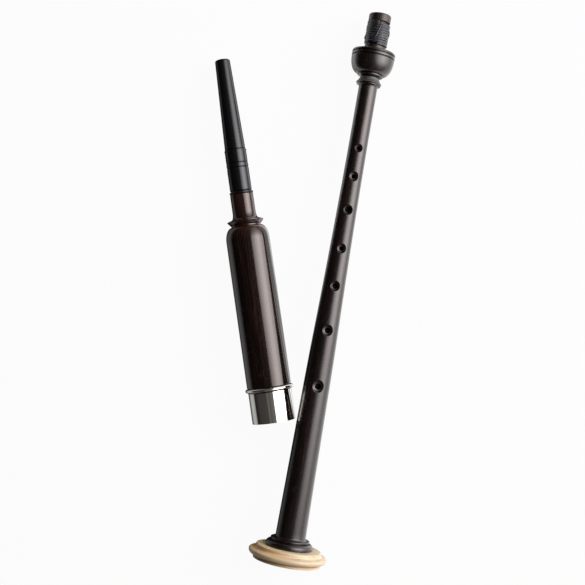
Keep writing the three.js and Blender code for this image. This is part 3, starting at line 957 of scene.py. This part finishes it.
# How far the top section's wood turns brown, by the height along it: most of all at the
# shoulder's top, from these distances below its groove
SOME_BROWNING = 4
MOST_BROWNING = 1
BROWNING_SHARES = (
    (SHOULDER, 0),
    (TOP_GROOVE - SOME_BROWNING, 0.35),
    (TOP_GROOVE - MOST_BROWNING, 0.9),
    (TOP_COLLAR, 0.4),
    (TOP_FLARE, 0.3),
    (SLEEVE, 0.55),
)


def blackwood(name, roughness, flecks, browning_shares=(), **shader_values):
    material, tree, shader = new_material(name, **shader_values)
    place = turned_at(tree)
    figure = noise_of(tree, place, wood.figure_rates, detail=5.0, roughness=0.62, distortion=0.9)
    fibre = noise_of(tree, place, wood.fibre_rates, detail=4.0, roughness=0.6, distortion=0.3)
    pores = noise_of(tree, place, wood.pore_rates, detail=2.0)
    inputs = {"Vector": place, "Angle": radians(wood.fleck_lean_degrees)}
    leaned = add(tree, "VectorRotate", inputs, rotation_type="Z_AXIS").outputs["Vector"]
    slants = noise_of(tree, leaned, wood.fleck_rates, detail=4.0, roughness=0.6, distortion=0.3)
    grained = mixed(tree, spread(tree, fibre, *wood.fibre_span), *wood.fibre_tones)
    colour = multiplied(tree, ramp(tree, figure, wood.figure_tones), grained)
    # Browner by the height along the top section, mottled by the fibres
    if browning_shares:
        brown = ramp_over(tree, part_of(tree, place, "Y"), greys(browning_shares))
        brown = multiplied(tree, brown, ramp(tree, fibre, greys(wood.worn_fibre_shares)))
        colour = mixed(tree, brown, colour, wood.worn_brown)
    flecked = spread(tree, slants, *wood.fleck_span, 0.0, flecks)
    colour = mixed(tree, flecked, colour, wood.fleck_red)
    colour = mixed(tree, spread(tree, pores, *wood.pore_span), colour, wood.pore_black)
    surfaced(tree, shader, colour, varied(tree, fibre, *roughness))
    grain = bumped(tree, shader, fibre, distance=0.02, strength=0.5)
    dents = spread(tree, pores, *wood.dent_span, 1.0, 0.0)
    bumped(tree, shader, dents, distance=0.02, strength=0.6, under=grain)
    return material


POLYMER_TONES = ((0.0016, 0.0016, 0.0019, 1), (0.0034, 0.0034, 0.0040, 1))


def polymer():
    material, tree, shader = new_material("polymer", specular=0.42, tint=(0.955, 0.945, 1.0))
    place = turned_at(tree)
    clouds = noise_of(tree, place, (0.3, 0.1, 0.3))
    surfaced(tree, shader, mixed(tree, clouds, *POLYMER_TONES), varied(tree, clouds, 0.20, 0.25))
    bumped(tree, shader, lathe_marks(tree, place, rate=5.0), distance=0.006, strength=0.5)
    return material


# Painted light and shade on the sole by the height from its lower face: lip, groove, rim, cove, step
# and top:
# darker and browner in the groove, paler on the rim, cove and top face. A stronger painting lies on
# the left,
# away from the soft box: lighter on the rim, step and top, darker and browner on the lip and in the
# groove, browner in the cove. It thins out over a span across the axis
SOLE_PAINTED_SHADING = (
    (0, (1.02, 1.04, 1.08)), (0.3, (0.94, 0.93, 0.92)), (1.1, (0.97, 0.98, 1.0)),
    (1.5, (0.92, 0.80, 0.64)), (2.1, (0.98, 0.92, 0.84)), (3.4, (0.97, 1.01, 1.05)),
    (5.6, (0.94, 1.02, 1.13)), (6.4, (0.96, 1.05, 1.13)), (7.1, (0.99, 1.07, 1.13)),
    (7.6, (0.97, 1.01, 1.05)), (8.4, (0.93, 0.99, 1.08)), (8.8, (1.02, 1.12, 1.24)),
)
LEFT_SOLE_PAINTED_SHADING = (
    (0, (0.98, 0.98, 1.0)), (0.3, (0.66, 0.50, 0.39)), (1.1, (0.78, 0.62, 0.48)),
    (1.5, (0.44, 0.28, 0.18)), (2.1, (0.74, 0.56, 0.40)), (3.0, (1.24, 1.17, 1.03)),
    (5.6, (1.42, 1.45, 1.42)), (6.4, (1.35, 1.04, 0.72)), (7.1, (1.35, 0.86, 0.48)),
    (7.6, (1.42, 1.26, 1.02)), (8.4, (1.40, 1.40, 1.36)), (8.8, (1.55, 1.62, 1.6)),
)
LEFT_SHADING_SPAN = (-24, 6)

# Tones of the sole's wood: of its figure, its fibres and its turning marks
PALE_TONES = (
    (0.35, (0.48, 0.335, 0.20)),
    (0.55, (0.54, 0.395, 0.25)),
    (0.72, (0.59, 0.455, 0.31)),
)
PALE_FIBRE_TONES = ((0.90, 0.86, 0.80, 1), (1.04, 1.04, 1.03, 1))
PALE_MARK_TONES = ((0.93, 0.90, 0.85, 1), (1.03, 1.03, 1.02, 1))


def pale_wood():
    material, tree, shader = new_material("sole_wood", specular=0.8)
    place = turned_at(tree)
    figure = noise_of(tree, place, (0.12, 0.5, 0.12), detail=4.0, roughness=0.55, distortion=0.6)
    fibre = noise_of(tree, place, (1.2, 6.0, 1.2), roughness=0.6)
    marks = lathe_marks(tree, place, rate=3.2)
    height = part_of(tree, place, "Y")
    # Painted light and shade by the height, stronger on the left side
    shadings = (ramp_over(tree, height, shading) for shading in (SOLE_PAINTED_SHADING, LEFT_SOLE_PAINTED_SHADING))
    left_share = spread(tree, part_of(tree, place, "X"), *LEFT_SHADING_SPAN, 1.0, 0.0)
    colour = multiplied(tree, ramp(tree, figure, PALE_TONES), mixed(tree, left_share, *shadings))
    colour = multiplied(tree, colour, mixed(tree, varied(tree, fibre), *PALE_FIBRE_TONES))
    colour = multiplied(tree, colour, mixed(tree, varied(tree, marks), *PALE_MARK_TONES))
    surfaced(tree, shader, colour, varied(tree, marks, 0.42, 0.54))
    bumped(tree, shader, marks, distance=0.02, strength=0.5)
    return material


NICKEL_TONES = ((0.80, 0.78, 0.74, 1), (0.88, 0.86, 0.83, 1))

# Painted shade in the corner under the ferrule's bead: height of its middle above the tube's end,
# its reach, how thickly it lies by shares of that reach, and its colour
corner_painted_shade = Sizes(
    height=0.1, reach=0.8, shares=((-1, 0), (-0.3, 1), (0.3, 1), (1, 0)),
    colour=(0.02, 0.018, 0.016, 1),
)


def nickel():
    material, tree, shader = new_material("nickel", Metallic=1.0)
    place = turned_at(tree)
    clouds = noise_of(tree, place, (0.25, 0.12, 0.25))
    # Painted shade darkens the corner under the bead
    middle = ferrule.tube_length + corner_painted_shade.height
    stops = [(middle + at * corner_painted_shade.reach, share) for at, share in corner_painted_shade.shares]
    corner_shade = ramp_over(tree, part_of(tree, place, "Y"), greys(stops))
    colour = mixed(tree, corner_shade, mixed(tree, clouds, *NICKEL_TONES), corner_painted_shade.colour)
    surfaced(tree, shader, colour, varied(tree, clouds, 0.05, 0.10))
    bumped(tree, shader, lathe_marks(tree, place, rate=9.0), distance=0.0015, strength=0.4)
    return material


THREAD_TONES = (
    (0.35, (0.002, 0.002, 0.0025)),
    (0.52, (0.007, 0.007, 0.009)),
    (0.68, (0.034, 0.034, 0.042)),
)


def waxed_thread():
    material, tree, shader = new_material("waxed_thread", specular=0.66, tint=(0.94, 0.94, 1.0))
    place = turned_at(tree)
    wax = noise_of(tree, place, (0.7, 1.0, 0.7), detail=4.0, roughness=0.6)
    fibres = noise_of(tree, place, (2.0, 9.0, 2.0), detail=4.0, roughness=0.6, distortion=0.4)
    surfaced(tree, shader, ramp(tree, wax, THREAD_TONES), varied(tree, fibres, 0.32, 0.55))
    bumped(tree, shader, fibres, distance=0.1, strength=0.7)
    return material


# Camera: straight down, at the photograph's distance, turned so that +Y leans to the left
camera_spot = Sizes(
    beyond_mouth=(22.73, 77.41), height=718, turn_degrees=-8.19, focal_pixels=1132,
    picture_pixels=585, sensor=36,
)


def place_camera():
    data = bpy.data.cameras.new("camera")
    data.sensor_fit = "HORIZONTAL"
    data.sensor_width = camera_spot.sensor
    data.lens = camera_spot.focal_pixels / camera_spot.picture_pixels * camera_spot.sensor
    camera = placed("camera", data)
    mouth = TOP.translation
    x, y = camera_spot.beyond_mouth
    camera.location = (mouth.x + x * MM, mouth.y + y * MM, camera_spot.height * MM)
    camera.rotation_euler = (0, 0, radians(camera_spot.turn_degrees))
    bpy.context.scene.camera = camera


# Light: a soft box on the picture's right, over a white floor, in a room that is dark overhead. Its
# brightness changes across and along it
soft_box = Sizes(
    distance=1000,
    from_above_degrees=52,
    width=1480,
    length=4000,
    beyond=200,
    radiance=9.4,
    across_shares=(
        (0, 0.22), (0.11, 0.4), (0.28, 0.66), (0.43, 0.94), (0.58, 0.97), (0.77, 0.6), (1, 0.4),
    ),
    along_shares=(
        (0, 0.06), (0.3, 0.1), (0.35, 0.26), (0.415, 0.78), (0.475, 1), (0.54, 1), (0.58, 0.66),
        (0.64, 0.38), (0.72, 0.22), (1, 0.12),
    ),
)

# Light of the room on matt surfaces, and what shines in it overhead: degrees from straight up
# towards the picture's right, and radiance
ROOM_FILL = 0.07
ROOM_GLOSS = (
    (-90, 0.015), (-78, 0.028), (-64, 0.048), (-37, 0.055), (-20, 0.058), (-17, 0.145),
    (-13, 0.145), (-9, 0.095), (0, 0.115), (8, 0.150), (90, 0.150),
)
ROOM_TINT = (1.0, 0.92, 0.85, 1)
WHITE = (1, 1, 1, 1)

# The floor: its size, its white in the lamp's light and to diffuse rays, the share of it that glows
# white to the camera, and the strength of its glow in reflections
FLOOR_SIZE = 12000
FLOOR_WHITE = (0.42, 0.42, 0.42, 1)
FLOOR_DIFFUSE_WHITE = (0.5, 0.5, 0.5, 1)
FLOOR_GLOW_SHARE = 0.95
FLOOR_MIRROR_GLOW = 2.2

# White of the floor in reflections, by the distance to the right of each section's axis: painted
# shadow close beside each section, and painted light on the lit floor around it, brightest to the
# right, where the soft box stands
BESIDE_TOP = (
    (-450, 0.02), (-330, 0.06), (-220, 0.13), (-110, 0.22), (-60, 0.26), (-45, 0.26), (-34, 0.19),
    (-26, 0.05), (-18, 0.02), (15, 0.03), (18, 0.5), (24, 1), (60, 1),
)
BESIDE_CHANTER = (
    (-60, 0.85), (-34, 0.85), (-27, 0.5), (-22, 0.36), (-14, 0.3), (-9, 0.5), (-5, 0.65),
    (-1, 0.55), (4, 0.1), (7, 0.1), (10, 0.35), (18, 0.85),
)


def picture_directions():
    turn = Matrix.Rotation(radians(camera_spot.turn_degrees), 3, "Z")
    return turn @ Vector((1, 0, 0)), turn @ Vector((0, 1, 0))


def place_soft_box():
    right, top = picture_directions()
    lean = radians(soft_box.from_above_degrees)
    towards = right * sin(lean) + Vector((0, 0, cos(lean)))
    data = bpy.data.lights.new("soft_box", "AREA")
    data.shape = "RECTANGLE"
    data.size = soft_box.width * MM
    data.size_y = soft_box.length * MM
    data.energy = soft_box.radiance * pi * data.size * data.size_y
    data.use_nodes = True
    tree = data.node_tree
    place = add(tree, "NewGeometry").outputs["Parametric"]
    across = ramp(tree, part_of(tree, place, "X"), greys(soft_box.across_shares))
    along = ramp(tree, part_of(tree, place, "Y"), greys(soft_box.along_shares))
    strength = computed(tree, "MULTIPLY", across, along)
    tree.links.new(strength, tree.nodes["Emission"].inputs["Strength"])
    light = placed("soft_box", data)
    spot = towards * soft_box.distance * MM + top * soft_box.beyond * MM
    turn = Matrix((top.cross(towards).normalized(), top, towards)).transposed().to_4x4()
    light.matrix_world = Matrix.Translation(spot) @ turn


# Brightness of the room by the turn of a direction from straight up, about the picture's upright
def overhead(tree):
    right, _ = picture_directions()
    way = add(tree, "TexCoord").outputs["Generated"]
    turn = computed(tree, "ARCTAN2", dotted(tree, way, right), part_of(tree, way, "Z"))
    stops = [(radians(degrees), value) for degrees, value in ROOM_GLOSS]
    return ramp_over(tree, turn, greys(stops))


def background(tree, colour, strength):
    return add(tree, "Background", {"Color": colour, "Strength": strength}).outputs[0]


def blended(tree, factor, surface, other):
    return add(tree, "MixShader", {0: factor, 1: surface, 2: other}).outputs[0]


def light_room():
    world = bpy.data.worlds.new("room")
    bpy.context.scene.world = world
    world.use_nodes = True
    tree = world.node_tree
    tree.nodes.clear()
    rays = add(tree, "LightPath").outputs
    fill = background(tree, WHITE, ROOM_FILL)
    gloss = background(tree, ROOM_TINT, overhead(tree))
    lit = blended(tree, rays["Is Glossy Ray"], fill, gloss)
    seen = blended(tree, rays["Is Camera Ray"], lit, background(tree, WHITE, 1.0))
    add(tree, "OutputWorld", {"Surface": seen})


# Floor's painted shadow and light in reflections, by the distance to the right of a section's axis,
# seen from above
def beside(tree, section, shares):
    right = level_across(section.to_3x3() @ Vector((0, 1, 0)))
    aside = dotted(tree, add(tree, "TexCoord").outputs["Object"], right)
    start = section.translation.dot(right)
    return ramp_over(tree, aside, greys((start + at * MM, share) for at, share in shares))


# A surface that glows by a share of itself for one kind of ray
def glowing(tree, surface, kind, share, colour, strength):
    glow = add(tree, "Emission", {"Color": colour, "Strength": strength}).outputs[0]
    return blended(tree, computed(tree, "MULTIPLY", kind, share), surface, glow)


def floor_material():
    material, tree, shader = new_material("white_floor", specular=0.0, Roughness=1.0)
    rays = add(tree, "LightPath").outputs
    colour = mixed(tree, rays["Is Diffuse Ray"], FLOOR_WHITE, FLOOR_DIFFUSE_WHITE)
    tree.links.new(colour, shader.inputs["Base Color"])
    plain = shader.outputs[0]
    seen = glowing(tree, plain, rays["Is Camera Ray"], FLOOR_GLOW_SHARE, WHITE, 1.0)
    # Painted shadow and light on the floor, seen only in reflections
    sides = beside(tree, TOP, BESIDE_TOP), beside(tree, CHANTER, BESIDE_CHANTER)
    mirrored = multiplied(tree, *sides)
    seen = glowing(tree, seen, rays["Is Glossy Ray"], 1, mirrored, FLOOR_MIRROR_GLOW)
    tree.links.new(seen, tree.nodes["Material Output"].inputs["Surface"])
    return material


def lay_floor(height):
    half = FLOOR_SIZE / 2 * MM
    mesh = bpy.data.meshes.new("floor")
    corners = [(half * x, half * y, height) for x, y in ((-1, -1), (1, -1), (1, 1), (-1, 1))]
    mesh.from_pydata(corners, [], [(0, 1, 2, 3)])
    mesh.materials.append(floor_material())
    floor = placed("floor", mesh)


place_camera()
place_soft_box()
light_room()

barrel_wood = blackwood(
    "polished_blackwood",
    roughness=(0.20, 0.28),
    flecks=0.38,
    browning_shares=BROWNING_SHARES,
    specular=0.17,
    tint=(1.0, 0.58, 0.46),
    Coat_Weight=0.84,
    Coat_Roughness=0.07,
)
shaft_wood = blackwood(
    "satin_blackwood", roughness=(0.22, 0.36), flecks=0.35, specular=0.60, tint=(1.0, 0.935, 0.925)
)
tenon_wood = blackwood(
    "tenon_blackwood", roughness=(0.34, 0.46), flecks=0.3, specular=0.52, tint=(1.0, 0.90, 0.86)
)
cone_wood = blackwood(
    "end_grain_blackwood",
    roughness=(0.52, 0.64),
    flecks=0.1,
    specular=1.0,
    tint=(1.0, 0.97, 0.95),
    IOR=1.75,
)
black = polymer()
cream = pale_wood()
metal = nickel()
hemp = waxed_thread()

core_low = RECESS + thread.diameter + 2 * SEAT
core_high = TIP - thread.diameter - 2 * SEAT
core = ring_outline(RECESS_RADIUS + SEAT, CORE_RADIUS, core_low, core_high)

# Pieces: name, outline, rounding of corners and material, then body, slot and the solid replaced
chanter_body(shaft_wood, tenon_wood, cone_wood)
turned_piece(
    "sole_ring", sole_outline(), WOOD_ROUND, cream, "chanter", "sole", "chanter_sole"
)
turned_piece(
    "winding_core", core, WOOD_ROUND, hemp, "chanter", "waxed_thread", "tenon_hemp_core"
)
tenon_winding(hemp)
turned_piece(
    "barrel_and_stem", top_outline(), WOOD_ROUND, barrel_wood, "top_section", "blackwood", "top_body"
)
turned_piece(
    "metal_ferrule", ferrule_outline(), METAL_ROUND, metal, "top_section", "ferrule", "ferrule"
)
turned_piece(
    "polymer_sleeve",
    sleeve_outline(),
    POLYMER_ROUND,
    black,
    "top_section",
    "polymer",
    "mouthpiece_sleeve",
)
turned_piece(
    "tapered_tip", mouthpiece_outline(), POLYMER_ROUND, black, "mouthpiece", "polymer", "mouthpiece"
)
mouthpiece_packing(hemp)

view = bpy.context.scene.view_settings
view.view_transform = "Standard"

low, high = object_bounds()
lay_floor(low[2])
